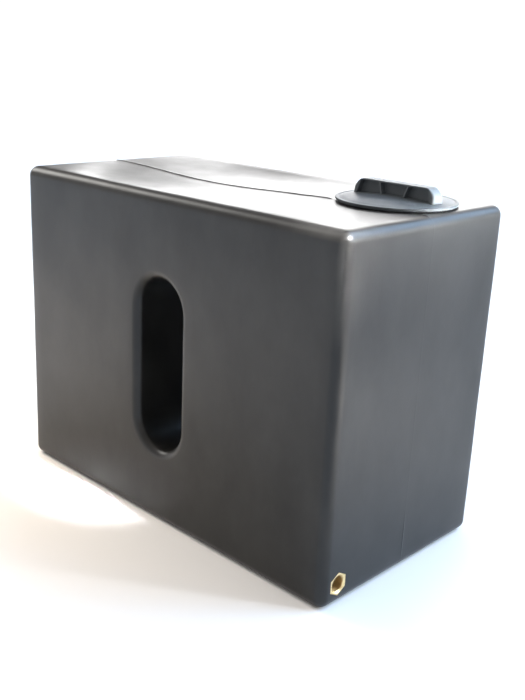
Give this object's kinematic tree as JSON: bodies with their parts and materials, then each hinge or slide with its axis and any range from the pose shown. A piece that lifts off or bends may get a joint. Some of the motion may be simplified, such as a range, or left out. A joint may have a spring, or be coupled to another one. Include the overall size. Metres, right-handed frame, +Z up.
{
  "type": "fresh water tank",
  "caption": "Upright moulded plastic fresh water tank with a through strap tunnel, a screw-in filler lid with a grip bar and a brass outlet socket.",
  "frame": {"origin": "middle of the base, at floor level", "axes": "+X along the long side towards the outlet end, -Y out of the front face, +Z up"},
  "size_m": [0.708, 0.37, 0.5645],
  "materials": {
    "moulded_body": "black moulded polyethylene, half gloss",
    "lid_plastic": "black injection-moulded polypropylene",
    "brass": "machined brass",
    "rubber": "black rubber",
    "screw_steel": "stainless steel"
  },
  "bodies": {
    "tank": {"tank_shell": "moulded_body", "outlet_insert": "brass", "ring_gasket": "rubber", "filler_ring": "lid_plastic", "ring_screw_1": "screw_steel", "ring_screw_2": "screw_steel", "ring_screw_3": "screw_steel", "ring_screw_4": "screw_steel", "ring_screw_5": "screw_steel", "ring_screw_6": "screw_steel", "ring_screw_7": "screw_steel", "ring_screw_8": "screw_steel"},
    "lid_seal": {"lid_seal": "rubber"},
    "lid": {"lid": "lid_plastic", "vent_valve": "rubber"}
  },
  "joints": [
    {"name": "lid_rise", "type": "slide", "parent": "tank", "child": "lid_seal", "axis": [0, 0, 1], "range_m": [0, 0.0272]},
    {"name": "lid_turn", "type": "hinge", "parent": "lid_seal", "child": "lid", "pos_m": [0.2475, 0.0585, 0.54], "axis": [0, 0, 1], "range_deg": [0, 810]}
  ],
  "couplings": [
    {"joint": "lid_rise", "follows": "lid_turn", "m_per_rad": 0.0019099}
  ]
}
